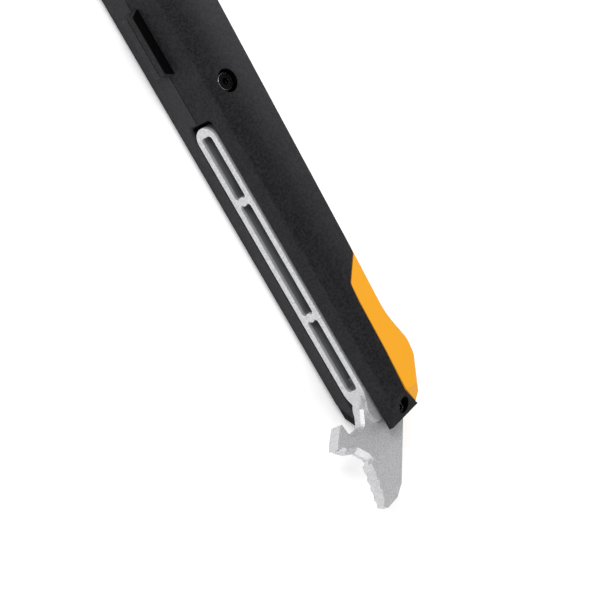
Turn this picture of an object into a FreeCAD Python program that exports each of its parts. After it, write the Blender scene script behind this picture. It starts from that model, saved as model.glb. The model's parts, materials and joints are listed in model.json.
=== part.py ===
"""Snap off knife: two moulded half shells hold a sheet steel blade channel, a sliding segmented blade
with a screw lock, a cast tail tool with a pry hook, and a hinged hatch over the spare blades.

Every sub-part shares one local frame: x runs from the tail ridge toward the nose, y is minus the depth
behind the front ridge, and z is the distance from the parting plane of the shells. The rest frame has
its origin on the far shell's outer face, at mid handle.
"""

import math
import os
import re

import FreeCAD
import Part
import Sketcher

SIZES = [
    # handle
    ("handle_length", 195.0, "tail ridge to nose end of the shells"),
    ("half_width", 12.75, "half the width across the two side faces"),
    ("origin_depth", 10.5, "depth of the origin behind the front ridge"),
    ("spine_tail", 18.6, "depth of the spine beside the hatch"),
    ("spine_mid", 22.0, "depth of the spine at its deepest"),
    ("spine_mid_start", 134.0, "where the spine stops deepening"),
    ("spine_chamfer", 2.0, "chamfer along the spine and nose"),
    ("roof_half", 10.5, "half width of the shallow front roof"),
    ("roof_drop", 1.3, "fall of the roof from ridge to bevel"),
    ("bevel_depth", 3.5, "depth at which the front bevel meets the side"),
    ("nose_taper", 45.0, "length of the tapered nose"),
    ("facet_length", 7.6, "length of the inclined side facet at the tail"),
    ("facet_rise", 0.75, "slope of that facet"),
    ("relief_length", 15.2, "length of the far shell's relief beside the hook"),
    ("relief_depth", 3.2, "depth of that relief"),
    ("tail_lean", 2.0, "lean of the tail end between ridge and horn"),
    ("horn_depth", 12.85, "depth of the horn behind the hatch"),
    ("edge_round", 1.5, "rounding between the roof and its bevel"),
    ("gap", 0.3, "clearance between pieces that move or drop in"),
    # pad on the front ridge
    ("pad_start", 121.8, "tail end of the raised pad"),
    ("pad_length", 21.6, "length of the raised pad"),
    ("pad_half", 2.6, "half width of the raised pad"),
    ("pad_rise", 3.2, "height of the raised pad over the ridge"),
    ("pad_slope", 1.3, "run of the pad's sloped ends"),
    # slot and arm of the tail tool
    ("arm_top", 103.8, "nose end of the arm"),
    ("arm_half", 4.25, "half thickness of the arm"),
    ("arm_front", 0.3, "setback of the arm from the ridge"),
    ("arm_depth", 6.0, "depth of the arm's back"),
    ("rail", 2.0, "thickness of the arm's rails"),
    ("pocket_depth", 4.3, "depth of the windows"),
    ("end_wall", 2.9, "wall at the top of the arm"),
    ("rib_one", 39.6, "first cross rib"),
    ("rib_two", 79.1, "second cross rib"),
    ("rib_half", 0.9, "half thickness of a rib"),
    ("rib_pad", 1.45, "radius of the round pad on a rib"),
    ("arm_tail", 8.2, "tail end of the arm's rails"),
    ("arm_taper", 5.2, "length over which the arm narrows to the plate"),
    ("slot_extra", 1.1, "length of the slot past the arm"),
    ("slot_corner", 1.2, "rounding of the slot's two end corners"),
    ("slot_lip", 0.7, "chamfer round the slot's mouth"),
    ("plate_half", 2.2, "half thickness of the head plate"),
    ("boss_half", 3.4, "half thickness of the boss beside the throat"),
    ("tooth_pitch", 2.8, "pitch of the serrations along the handle"),
    ("tooth_r", 1.4, "radius of a serration"),
    # hatch
    ("notch_line", 33.5, "x less depth on the notch's nose slope"),
    ("notch_nose", 43.0, "nose end of the notch floor"),
    ("notch_floor", 8.8, "depth of the notch floor"),
    ("notch_tail", 7.6, "tail end of the notch floor"),
    ("notch_tail_floor", 7.1, "depth of the notch floor at its tail end"),
    ("hatch_cavity", 9.7, "half width of the hollow in the hatch"),
    ("hinge_x", 53.2, "hatch pin, along the handle"),
    ("hinge_depth", 17.3, "hatch pin, behind the ridge"),
    ("hatch_pin_r", 0.75, "radius of the hatch pin"),
    ("hatch_pin_half", 8.0, "half length of the hatch pin"),
    ("running_fit", 0.05, "radial clearance of a pin in its moving part"),
    ("knuckle_r", 1.5, "outer radius of the hatch knuckle"),
    ("knuckle_half", 3.9, "half width of the hatch knuckle"),
    ("spring_length", 18.0, "length of the leaf spring"),
    # spare blades
    ("magazine_start", 8.2, "tail end of the spare blades"),
    ("magazine_depth", 9.4, "depth of the first spare blade"),
    # blade, channel and slider
    ("blade_length", 100.0, "blade, heel to point"),
    ("blade_half", 9.0, "half the width of the blade"),
    ("blade_thick", 0.5, "thickness of the blade"),
    ("blade_clear", 0.05, "clearance of a blade to what lies on it"),
    ("blade_depth", 14.2, "depth of the blade's front face"),
    ("blade_heel", 147.5, "heel of the blade, extended"),
    ("blade_hole", 1.5, "radius of the hole in the blade"),
    ("hole_setback", 4.5, "hole centre from the heel"),
    ("segment_pitch", 11.0, "pitch of the score lines"),
    ("score_depth", 0.12, "depth of a score line"),
    ("score_width", 0.3, "width of a score line"),
    ("point_run", 10.4, "run of the slanted point across the blade"),
    ("channel_start", 86.0, "tail end of the channel"),
    ("channel_reach", 8.0, "channel standing out of the nose"),
    ("channel_depth", 13.4, "depth of the channel's base"),
    ("channel_back", 17.1, "depth of the channel's lips"),
    ("channel_half", 9.9, "half the outer width of the channel"),
    ("sheet_metal", 0.6, "thickness of the channel's sheet"),
    ("lip_half", 5.0, "half the gap between the channel's lips"),
    ("slide_travel", 47.0, "travel of the blade"),
    ("carrier_length", 20.0, "length of the blade carrier"),
    ("carrier_back", 16.3, "depth of the carrier's back"),
    ("neck_drop", 0.1, "how far the carrier's neck stays below the lips"),
    ("nut_half", 3.5, "half width of the clamp nut"),
    ("nut_thick", 1.8, "thickness of the clamp nut"),
    ("stud_x", 158.0, "lock stud, blade extended"),
    ("stud_r", 2.0, "radius of the lock stud"),
    ("track_depth", 19.4, "depth of the slider track's floor"),
    ("track_half", 6.3, "half width of the slider track"),
    ("stem_half", 2.9, "half width of the slider's stem"),
    ("runner_length", 30.0, "length of the slider plate"),
    ("runner_rise", 21.9, "depth of the slider plate's top"),
    ("washer_thick", 0.5, "thickness of the friction washer"),
    ("wheel_r", 8.5, "radius of the lock wheel"),
    ("wheel_height", 5.6, "height of the lock wheel"),
    ("flute_r", 1.0, "radius of a grip flute on the wheel"),
    ("flutes", 20, "grip flutes on the wheel"),
    # fasteners
    ("upper_x", 112.5, "upper screw, along the handle"),
    ("upper_depth", 7.7, "upper screw, behind the ridge"),
    ("nose_x", 180.0, "nose screw, along the handle"),
    ("nose_depth", 8.0, "nose screw, behind the ridge"),
    ("tail_x", 4.0, "tail screw, along the handle"),
    ("tail_depth", 6.2, "tail screw, behind the ridge"),
    ("bore_r", 3.65, "radius of the counterbore"),
    ("bore_floor", 9.9, "counterbore floor from the parting plane"),
    ("head_r", 2.7, "radius of a screw head"),
    ("head_height", 1.7, "height of a screw head"),
    ("shank_r", 1.5, "radius of a screw shank"),
    ("shank_clearance", 0.15, "radial clearance round a shank"),
    ("hex_r", 1.25, "corner radius of the hex socket"),
    ("insert_r", 2.3, "outer radius of a brass insert"),
    ("insert_length", 7.0, "length of a brass insert"),
    ("tail_bore_r", 2.2, "radius of the tail screw's counterbore"),
    ("tail_bore_floor", 6.2, "its floor from the parting plane"),
    ("tail_head_r", 1.85, "radius of the tail screw's head"),
    ("tail_insert_length", 4.2, "length of the tail insert"),
]

doc = FreeCAD.newDocument("snap_off_knife")
sheet = doc.addObject("Spreadsheet::Sheet", "sizes")
for row, (alias, value, note) in enumerate(SIZES, start=1):
    sheet.set(f"A{row}", note)
    sheet.set(f"B{row}", str(value))
    sheet.setAlias(f"B{row}", alias)
doc.recompute()

parts = []


def number(text):
    """The value of an expression in the sheet's aliases."""
    return float(sheet.evalExpression(text))


def bound(text):
    """The same expression as another object of the document writes it."""
    return re.sub(r"\b(?!sin|cos|tan|sqrt)[a-z][a-z_]*\b", lambda word: "sizes." + word[0], text)


# ---------------------------------------------------------------- sketches and features


def place(thing):
    """Sets a sub-part in the rest frame."""
    thing.setExpression("Placement.Base.x", bound("-handle_length / 2"))
    thing.setExpression("Placement.Base.y", bound("origin_depth"))
    thing.setExpression("Placement.Base.z", bound("half_width"))


def new_body(label):
    """A placed sub-part, listed for export."""
    body = doc.addObject("PartDesign::Body", label)
    body.Label = label
    place(body)
    parts.append(body)
    return body


def new_sketch(body, role, offset="0"):
    """A sketch on one of the body's origin planes, moved along its normal."""
    sketch = body.newObject("Sketcher::SketchObject", body.Label + "_sketch")
    plane = [item for item in body.Origin.OriginFeatures if item.Role == role][0]
    sketch.AttachmentSupport = [(plane, "")]
    sketch.MapMode = "FlatFace"
    sketch.setExpression("AttachmentOffset.Base.z", bound(offset))
    return sketch


def fix_point(sketch, geometry, end, x_text, y_text):
    """Ties a point to the sketch's origin by two driven distances."""
    for kind, text in (("DistanceX", x_text), ("DistanceY", y_text)):
        index = sketch.addConstraint(Sketcher.Constraint(kind, -1, 1, geometry, end, number(text)))
        sketch.setExpression(f"Constraints[{index}]", bound(text))


def corner_tangents(before, corner, after, radius):
    """Where a fillet of this radius touches the two sides of a corner, and its centre."""
    to_before = (before - corner).normalize()
    to_after = (after - corner).normalize()
    half_angle = to_before.getAngle(to_after) / 2
    reach = radius / math.tan(half_angle)
    bisector = (to_before + to_after).normalize()
    centre = corner + bisector * (radius / math.sin(half_angle))
    return corner + to_before * reach, corner + to_after * reach, centre


def arc_between(start, finish, centre):
    """The arc of a corner, as a sketch arc, and whether it runs from start to finish."""
    radius = (start - centre).Length
    middle = centre + ((start + finish) / 2 - centre).normalize() * radius
    arc = Part.Arc(start, middle, finish)
    runs_forward = (arc.value(arc.FirstParameter) - start).Length < 1e-6
    normal_up = (start - centre).cross(finish - centre).z > 0
    circle = Part.Circle(centre, FreeCAD.Vector(0, 0, 1), radius)
    first, last = (start, finish) if normal_up else (finish, start)
    corner = Part.ArcOfCircle(circle, circle.parameter(first), circle.parameter(last))
    return corner, normal_up and runs_forward


def add_outline(sketch, corners):
    """A closed outline. A corner is (x, y) or (x, y, radius), all expressions."""
    count = len(corners)
    points = [FreeCAD.Vector(number(c[0]), number(c[1]), 0) for c in corners]
    starts = list(points)
    ends = list(points)
    rounds = {}
    for i, corner in enumerate(corners):
        if len(corner) == 3:
            touch = corner_tangents(points[i - 1], points[i], points[(i + 1) % count], number(corner[2]))
            ends[i], starts[i], rounds[i] = touch
    lines = []
    for i in range(count):
        lines.append(sketch.addGeometry(Part.LineSegment(starts[i], ends[(i + 1) % count])))
    for i, corner in enumerate(corners):
        before, after = lines[i - 1], lines[i]
        if i not in rounds:
            sketch.addConstraint(Sketcher.Constraint("Coincident", before, 2, after, 1))
            fix_point(sketch, after, 1, corner[0], corner[1])
            continue
        arc, forward = arc_between(ends[i], starts[i], rounds[i])
        curve = sketch.addGeometry(arc)
        first, last = (1, 2) if forward else (2, 1)
        sketch.addConstraint(Sketcher.Constraint("Tangent", before, 2, curve, first))
        sketch.addConstraint(Sketcher.Constraint("Tangent", curve, last, after, 1))
        index = sketch.addConstraint(Sketcher.Constraint("Radius", curve, number(corner[2])))
        sketch.setExpression(f"Constraints[{index}]", bound(corner[2]))
        vertex = sketch.addGeometry(Part.Point(points[i]), True)
        sketch.addConstraint(Sketcher.Constraint("PointOnObject", vertex, 1, before))
        sketch.addConstraint(Sketcher.Constraint("PointOnObject", vertex, 1, after))
        fix_point(sketch, vertex, 1, corner[0], corner[1])


def add_box(sketch, left, bottom, right, top, radius=None):
    """A rectangle between two corners, with all four corners rounded if asked."""
    tail = (radius,) if radius else ()
    corners = [(left, bottom), (right, bottom), (right, top), (left, top)]
    add_outline(sketch, [corner + tail for corner in corners])


def add_circle(sketch, x_text, y_text, radius):
    """A circle with its centre and radius driven."""
    centre = FreeCAD.Vector(number(x_text), number(y_text), 0)
    circle = sketch.addGeometry(Part.Circle(centre, FreeCAD.Vector(0, 0, 1), number(radius)))
    fix_point(sketch, circle, 3, x_text, y_text)
    index = sketch.addConstraint(Sketcher.Constraint("Radius", circle, number(radius)))
    sketch.setExpression(f"Constraints[{index}]", bound(radius))


def extrude(body, kind, sketch, length=None, toward=1, both=False):
    """A Pad or Pocket along the sketch's normal (toward 1) or against it (-1).

    Without a length it goes all the way.
    """
    before = body.Shape.Volume if body.Tip else 0.0
    feature = body.newObject("PartDesign::" + kind, body.Label + "_" + kind)
    feature.Profile = sketch
    feature.Reversed = (toward < 0) == (kind == "Pad")
    if both:
        feature.SideType = "Symmetric"
    if length is None:
        feature.Type = "ThroughAll"
    else:
        feature.setExpression("Length", bound(length))
    doc.recompute()
    change = feature.Shape.Volume - before
    if (change > 0) != (kind == "Pad") or abs(change) < 1e-6:
        raise ValueError(f"{feature.Label} changes the volume by {change:.3f}")
    return feature


def pad(body, sketch, length, toward=1, both=False):
    """Adds the sketch's outline as solid."""
    return extrude(body, "Pad", sketch, length, toward, both)


def cut(body, sketch, length=None, toward=1, both=False):
    """Takes the sketch's outline away."""
    return extrude(body, "Pocket", sketch, length, toward, both)


def dress(body, kind, size, wanted):
    """A Fillet or Chamfer on the edges of the body's tip that pass the test."""
    base = body.Tip
    names = [f"Edge{i}" for i, edge in enumerate(base.Shape.Edges, start=1) if wanted(edge)]
    if not names:
        raise ValueError(f"no edge found for {kind} on {body.Label}")
    feature = body.newObject("PartDesign::" + kind, body.Label + "_" + kind)
    feature.Base = (base, names)
    feature.setExpression("Radius" if kind == "Fillet" else "Size", bound(size))
    doc.recompute()
    return feature


def repeat(body, feature, axis_role, pitch, count):
    """A linear pattern of one feature along an axis of the body."""
    axis = [item for item in body.Origin.OriginFeatures if item.Role == axis_role][0]
    pattern = body.newObject("PartDesign::LinearPattern", body.Label + "_pattern")
    pattern.Originals = [feature]
    pattern.Direction = (axis, [""])
    pattern.Mode = "Spacing"
    pattern.setExpression("Offset", bound(pitch))
    pattern.Occurrences = count
    body.Tip = pattern
    doc.recompute()
    return pattern


def flat_at(axis, value):
    """A test for edges that lie in the plane axis = value."""
    low, high = axis + "Min", axis + "Max"

    def test(edge):
        box = edge.BoundBox
        return abs(getattr(box, low) - value) < 1e-3 and abs(getattr(box, high) - value) < 1e-3

    return test


# ---------------------------------------------------------------- shells

SPINE_AT_HINGE = "(notch_line + spine_tail)"
CARRIER_FRONT = "(blade_depth + blade_thick + blade_clear)"
WHEEL_BASE = "(runner_rise + washer_thick + 0.1)"


def shell_outline(sketch):
    """Side view of both shells, with the notch for the hatch."""
    nose = "(handle_length - nose_taper)"
    add_outline(sketch, [
        ("-tail_lean * 0.2", "0"),
        (nose, "0", "60"),
        ("handle_length - 6", "-5", "6"),
        ("handle_length", "-10.5", "3"),
        ("handle_length", "-(channel_back + 2.4)", "2"),
        ("handle_length - 14", "-spine_mid", "12"),
        ("spine_mid_start", "-spine_mid", "120"),
        (SPINE_AT_HINGE, "-spine_tail"),
        ("notch_nose", "-(notch_nose - notch_line)", "2.5"),
        ("notch_nose - 6", "-notch_floor"),
        ("notch_nose - 22.5", "-(notch_floor - 0.6)"),
        ("notch_tail", "-notch_tail_floor", "0.8"),
        ("tail_lean * 0.8", "-horn_depth"),
    ])


def shell(label, near):
    """One half of the handle, built on the near side.

    The far half, which lies on the rest face, is the mirror of such a body.
    """
    body = new_body(label)
    sketch = new_sketch(body, "XY_Plane")
    shell_outline(sketch)
    pad(body, sketch, "half_width")
    chamfer_shell(body)
    shape_front(body)
    add_pad_block(body)
    cut_seats(body)
    core_out(body)
    cut_fastener_seats(body, near)
    bevel_slot(body)
    if not near:
        relieve_front(body)
        parts.remove(body)
        body.Label = label + "_body"
        mirrored = doc.addObject("Part::Mirroring", label)
        mirrored.Label = label
        mirrored.Source = body
        mirrored.Normal = FreeCAD.Vector(0, 0, 1)
        mirrored.setExpression("Base.z", bound("half_width"))
        parts.append(mirrored)


def chamfer_shell(body):
    """Chamfers the outer face along the spine and round the nose."""
    outer = flat_at("Z", number("half_width"))
    hinge = number(SPINE_AT_HINGE)
    nose = number("handle_length - nose_taper")
    tolerance = 0.05

    def wanted(edge):
        middle = edge.CenterOfMass
        on_spine = middle.y < -number("spine_tail") + tolerance and middle.x > hinge
        on_nose = middle.x > nose + 10
        return outer(edge) and (on_spine or on_nose)

    dress(body, "Chamfer", "spine_chamfer", wanted)


def shape_front(body):
    """Cuts the shallow roof, the front bevel and the inclined facet at the tail."""
    section = new_sketch(body, "YZ_Plane")
    add_outline(section, [
        ("0", "0"),
        ("-roof_drop", "roof_half", "edge_round"),
        ("-bevel_depth * 2 + roof_drop", "half_width * 2 - roof_half"),
        ("5", "half_width * 2 - roof_half"),
        ("5", "0"),
    ])
    cut(body, section, both=True)
    facet = new_sketch(body, "XZ_Plane")
    facet_outline(facet, "")
    cut(body, facet, both=True)


def facet_outline(sketch, sign):
    """The wedge that the inclined tail facet takes off one side."""
    add_outline(sketch, [
        ("facet_length + 4", f"{sign}(half_width + 4 * facet_rise)"),
        ("-5", f"{sign}(half_width + 4 * facet_rise)"),
        ("-5", f"{sign}(half_width - (facet_length + 5) * facet_rise)"),
    ])


def relieve_front(body):
    """Cuts the front corner back beside the hook."""
    relief = new_sketch(body, "XZ_Plane")
    add_outline(relief, [
        ("relief_length + 4", "half_width + 4 * facet_rise"),
        ("-5", "half_width + 4 * facet_rise"),
        ("-5", "half_width - (relief_length + 5) * facet_rise"),
    ])
    cut(body, relief, "relief_depth", 1)


def add_pad_block(body):
    """Half of the raised pad on the ridge, with sloped ends."""
    sketch = new_sketch(body, "XY_Plane")
    add_outline(sketch, [
        ("pad_start", "-1"),
        ("pad_start + pad_length", "-1"),
        ("pad_start + pad_length", "0.4"),
        ("pad_start + pad_length - pad_slope", "pad_rise", "1"),
        ("pad_start + pad_slope", "pad_rise", "1"),
        ("pad_start", "0.4"),
    ])
    pad(body, sketch, "pad_half")


def cut_seats(body):
    """Everything that drops in between the shells is cut from the parting plane."""
    slot = new_sketch(body, "XY_Plane")
    add_box(slot, "-5", "-(arm_depth + gap)", "arm_top + slot_extra", "5")
    cut(body, slot, "arm_half + gap")
    root = new_sketch(body, "XY_Plane")
    add_outline(root, [
        ("-5", "5"), ("20", "5"), ("20", "-(arm_depth + gap)"), ("7", "-(arm_depth + gap)"),
        ("0.9", "-11.8"), ("-5", "-8"),
    ])
    cut(body, root, "plate_half + 0.2")
    magazine = new_sketch(body, "XY_Plane")
    add_box(magazine, "notch_nose - 5", "-(magazine_depth + (blade_thick + blade_clear) * 3 + gap)",
            "magazine_start + blade_length + 1", "-(magazine_depth - gap)")
    cut(body, magazine, "blade_half + gap")
    channel = new_sketch(body, "XY_Plane")
    add_box(channel, "channel_start - 0.1", "-(channel_back + 0.1)",
            "handle_length + 5", "-(channel_depth - 0.1)")
    cut(body, channel, "channel_half + 0.1")
    slot_start = "stud_x - slide_travel - runner_length / 2"
    stem = new_sketch(body, "XY_Plane")
    add_box(stem, f"{slot_start} + 3", "-(spine_mid + 5)", "stud_x + runner_length / 2 - 3", "-channel_back")
    cut(body, stem, "stem_half + gap")
    track = new_sketch(body, "XY_Plane")
    add_box(track, f"{slot_start} - 2", "-(spine_mid + 5)", "stud_x + runner_length / 2 + 2", "-track_depth")
    cut(body, track, "track_half")
    hinge = new_sketch(body, "XY_Plane")
    add_outline(hinge, [
        ("hinge_x - 6", "-(hinge_depth - knuckle_r - gap)"),
        ("hinge_x + knuckle_r + gap", "-(hinge_depth - knuckle_r - gap)", "knuckle_r"),
        ("hinge_x + knuckle_r + gap", "-(spine_mid + 5)"),
        ("hinge_x - 6", "-(spine_mid + 5)"),
    ])
    cut(body, hinge, "knuckle_half + gap")
    spring = new_sketch(body, "XY_Plane")
    add_box(spring, "hinge_x + knuckle_r", "-(hinge_depth + 0.6)",
            "hinge_x + knuckle_r + spring_length + gap", "-(hinge_depth - 1.2)")
    cut(body, spring, "knuckle_half - 0.4")
    pin = new_sketch(body, "XY_Plane")
    add_circle(pin, "hinge_x", "-hinge_depth", "hatch_pin_r")
    cut(body, pin, "hatch_pin_half")


def core_out(body):
    """Four cavities behind the pad keep the wall even, with ribs left between them."""
    core = new_sketch(body, "XY_Plane")
    add_box(core, "upper_x + 6", "-(channel_depth - 1.7)", "upper_x + 18", "-4.5", "1")
    pocket = cut(body, core, "half_width - 2.6")
    repeat(body, pocket, "X_Axis", "13.6", 4)


def cut_fastener_seats(body, near):
    """Counterbores and clearance holes in the near shell, insert bores in the far one."""
    seats = [
        ("upper_x", "upper_depth", "bore_r", "bore_floor", "0", "insert_r", "insert_length"),
        ("nose_x", "nose_depth", "bore_r", "bore_floor", "0", "insert_r", "insert_length"),
        ("tail_x", "tail_depth", "tail_bore_r", "tail_bore_floor", "plate_half + 0.2", "tail_head_r",
         "tail_insert_length"),
    ]
    for x_text, depth, bore, floor, insert_start, insert_bore, length in seats:
        if near:
            counterbore = new_sketch(body, "XY_Plane", floor)
            add_circle(counterbore, x_text, f"-{depth}", bore)
            cut(body, counterbore, "half_width")
            hole = new_sketch(body, "XY_Plane")
            add_circle(hole, x_text, f"-{depth}", "shank_r + shank_clearance")
            cut(body, hole, "half_width")
        else:
            seat = new_sketch(body, "XY_Plane", insert_start)
            add_circle(seat, x_text, f"-{depth}", insert_bore)
            cut(body, seat, length)


def bevel_slot(body):
    """Rounds the end of the slot and bevels its mouth."""
    along_slot = flat_at("Z", number("arm_half + gap"))
    across_end = flat_at("X", number("arm_top + slot_extra"))
    dress(body, "Fillet", "slot_corner", lambda edge: along_slot(edge) and across_end(edge))

    def mouth(edge):
        middle = edge.CenterOfMass
        box = edge.BoundBox
        top_end = abs(box.XMin - number("arm_top + slot_extra")) < 1e-3 and box.XLength < 1e-3
        near_front = middle.y > -1.5
        return near_front and ((along_slot(edge) and box.XLength > 50) or (top_end and box.ZLength > 1))

    dress(body, "Chamfer", "slot_lip", mouth)


# ---------------------------------------------------------------- tail tool


def tail_tool():
    """One casting: the windowed arm, then the thinner head plate with hook, teeth and pry tip."""
    body = new_body("tail_tool")
    arm = new_sketch(body, "XZ_Plane", "arm_front")
    add_outline(arm, [
        ("arm_tail", "-plate_half"),
        ("arm_tail + arm_taper", "-arm_half", "6"),
        ("arm_top", "-arm_half", "arm_half - 0.01"),
        ("arm_top", "arm_half", "arm_half - 0.01"),
        ("arm_tail + arm_taper", "arm_half", "6"),
        ("arm_tail", "plate_half"),
    ])
    pad(body, arm, "arm_depth - arm_front")
    window_half = "(arm_half - rail)"
    windows = [
        ("arm_tail + 6.4", "rib_one - rib_half", "1.2"),
        ("rib_one + rib_half", "rib_two - rib_half", "1.2"),
        ("rib_two + rib_half", "arm_top - end_wall", "1.2"),
    ]
    for left, right, radius in windows:
        window = new_sketch(body, "XZ_Plane", "arm_front")
        add_box(window, left, f"-{window_half}", right, window_half, radius)
        cut(body, window, "pocket_depth", 1)
    for rib in ("rib_one", "rib_two"):
        button = new_sketch(body, "XZ_Plane", "arm_front")
        add_circle(button, rib, "0", "rib_pad")
        pad(body, button, "pocket_depth + 0.5")
    plate = new_sketch(body, "XY_Plane")
    add_outline(plate, [
        ("18", "-arm_front - 2.5"),
        ("14.7", "-3.2", "2"),
        ("12.3", "0", "2"),
        ("9.2", "2.2", "4"),
        ("4.9", "4.9", "2.2"),
        ("4.5", "10.5", "1.5"),
        ("8.0", "10.9", "0.4"),
        ("9.1", "12.2", "0.5"),
        ("5.7", "16.2", "6"),
        ("3.2", "18.2", "0.9"),
        ("0.9", "15.4", "0.8"),
        ("-0.5", "11.9", "0.5"),
        ("-4.2", "9.0", "3"),
        ("-18.2", "12.5", "1"),
        ("-19.7", "10.3", "1"),
        ("-18.7", "5.4", "1.2"),
        ("-17.4", "4.5", "1"),
        ("-9.1", "-2.7"),
        ("0.9", "-11.5", "0.6"),
        ("6.6", "-arm_depth"),
        ("18", "-arm_depth"),
    ])
    pad(body, plate, "plate_half * 2", both=True)
    boss = new_sketch(body, "XY_Plane")
    add_outline(boss, [
        ("11", "-4"), ("10.2", "0"), ("6.8", "1.9", "4.2"), ("3.4", "-0.4", "0.4"), ("3.4", "-4"),
    ])
    pad(body, boss, "boss_half * 2", both=True)
    teeth = new_sketch(body, "XY_Plane")
    for step in range(4):
        add_circle(teeth, f"-8.3 - {step} * tooth_pitch", f"11.0 + {step} * tooth_pitch * 0.25", "tooth_r")
    cut(body, teeth, both=True)
    hole = new_sketch(body, "XY_Plane")
    add_circle(hole, "tail_x", "-tail_depth", "shank_r + shank_clearance")
    cut(body, hole, both=True)
    tip = new_sketch(body, "XZ_Plane")
    add_outline(tip, [
        ("-15.8", "plate_half"), ("-22", "plate_half"), ("-22", "-0.9"), ("-20.5", "-0.9"),
    ])
    cut(body, tip, both=True)
    return body


# ---------------------------------------------------------------- hatch


def hatch():
    """Hollow cover over the spare blades, hinged at its nose end."""
    body = new_body("hatch")
    outline = new_sketch(body, "XY_Plane")
    add_outline(outline, [
        ("notch_line + spine_tail - 0.4", "-spine_tail"),
        ("29.5", "-17.4", "26"),
        ("19.3", "-19.9", "8"),
        ("14.6", "-19.1", "3"),
        ("2.7", "-11.9"),
        ("notch_tail + 0.2", "-(notch_tail_floor + 0.55)", "0.8"),
        ("notch_nose - 22.5", "-(notch_floor - 0.3)"),
        ("notch_nose - 6", "-(notch_floor + gap)"),
        ("notch_nose - 0.3", "-(notch_nose - notch_line + 0.15)", "2.2"),
    ])
    pad(body, outline, "half_width * 2", both=True)
    side = number("half_width")
    nose_end = number("notch_line + spine_tail - 0.4")

    def outer(edge):
        """True on the outside edges of the hump, but not along the notch."""
        middle = edge.CenterOfMass
        flat = abs(abs(middle.z) - side) < 1e-3 and edge.BoundBox.ZLength < 1e-3
        above = middle.y < -number("horn_depth") - max(0.0, middle.x - nose_end + 2.7)
        steep = middle.x > number("notch_nose") and edge.BoundBox.YLength > 5
        return flat and above and not steep and middle.x < nose_end

    dress(body, "Chamfer", "spine_chamfer", outer)
    facet = new_sketch(body, "XZ_Plane")
    for sign in ("", "-"):
        facet_outline(facet, sign)
    cut(body, facet, both=True)
    hollow = new_sketch(body, "XY_Plane")
    add_outline(hollow, [
        ("7.4", "-5"),
        ("7.4", "-12.6"),
        ("14.4", "-17.2", "2"),
        ("19.6", "-18.0", "5"),
        ("29.5", "-15.6", "10"),
        ("44", "-16.2"),
        ("44", "-12.6"),
        ("50", "-12.6"),
        ("50", "-5"),
    ])
    cut(body, hollow, "hatch_cavity * 2", both=True)
    knuckle = new_sketch(body, "XY_Plane")
    add_outline(knuckle, [
        ("hinge_x - 6.5", "-(hinge_depth - knuckle_r)"),
        ("hinge_x + knuckle_r", "-(hinge_depth - knuckle_r)", "knuckle_r - 0.01"),
        ("hinge_x + knuckle_r", "-(hinge_depth + knuckle_r)", "knuckle_r - 0.01"),
        ("hinge_x - 6.5", "-(hinge_depth + knuckle_r)"),
    ])
    pad(body, knuckle, "knuckle_half * 2", both=True)
    bore = new_sketch(body, "XY_Plane")
    add_circle(bore, "hinge_x", "-hinge_depth", "hatch_pin_r + running_fit")
    cut(body, bore, both=True)
    return body


def hatch_pin():
    """Steel pin held in both shells."""
    body = new_body("hatch_pin")
    sketch = new_sketch(body, "XY_Plane")
    add_circle(sketch, "hinge_x", "-hinge_depth", "hatch_pin_r")
    pad(body, sketch, "hatch_pin_half * 2", both=True)
    return body


def hatch_spring():
    """Leaf that bears on the hatch's knuckle."""
    body = new_body("hatch_spring")
    sketch = new_sketch(body, "XY_Plane")
    start = "hinge_x + knuckle_r + 0.1"
    add_outline(sketch, [
        (start, "-hinge_depth"),
        (f"{start} + spring_length", "-(hinge_depth - 1.1)"),
        (f"{start} + spring_length", "-(hinge_depth - 0.7)"),
        (start, "-(hinge_depth + 0.4)"),
    ])
    pad(body, sketch, "knuckle_half * 2 - 1", both=True)
    return body


# ---------------------------------------------------------------- blade and channel


def blade_channel():
    """C section of folded sheet with click notches in its lips and a tapered mouth."""
    body = new_body("blade_channel")
    section = new_sketch(body, "YZ_Plane", "channel_start")
    inner_back = "-(channel_back - sheet_metal)"
    inner_base = "-(channel_depth + sheet_metal)"
    inner_half = "channel_half - sheet_metal"
    add_outline(section, [
        ("-channel_depth", "-channel_half"), ("-channel_depth", "channel_half"),
        ("-channel_back", "channel_half"), ("-channel_back", "lip_half"),
        (inner_back, "lip_half"), (inner_back, inner_half),
        (inner_base, inner_half), (inner_base, f"-({inner_half})"),
        (inner_back, f"-({inner_half})"), (inner_back, "-lip_half"),
        ("-channel_back", "-lip_half"), ("-channel_back", "-channel_half"),
    ])
    pad(body, section, "handle_length + channel_reach - channel_start")
    notch = new_sketch(body, "XZ_Plane", "channel_back - sheet_metal - 0.1")
    first = "stud_x - slide_travel - 4"
    for sign in ("", "-"):
        add_box(notch, first, f"{sign}(lip_half - 0.5)", f"{first} + 1.4", f"{sign}(lip_half + 1)")
    pocket = cut(body, notch, "sheet_metal + 0.2", 1)
    repeat(body, pocket, "X_Axis", "2.75", 21)
    mouth = new_sketch(body, "XZ_Plane")
    tip = "(handle_length + channel_reach)"
    for sign in ("", "-"):
        add_outline(mouth, [
            (f"{tip} - 5", f"{sign}(channel_half + 1)"),
            (f"{tip} - 5", f"{sign}channel_half"),
            (f"{tip} + 1", f"{sign}(channel_half - 3)"),
            (f"{tip} + 1", f"{sign}(channel_half + 1)"),
        ])
    cut(body, mouth, both=True)
    return body


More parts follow.
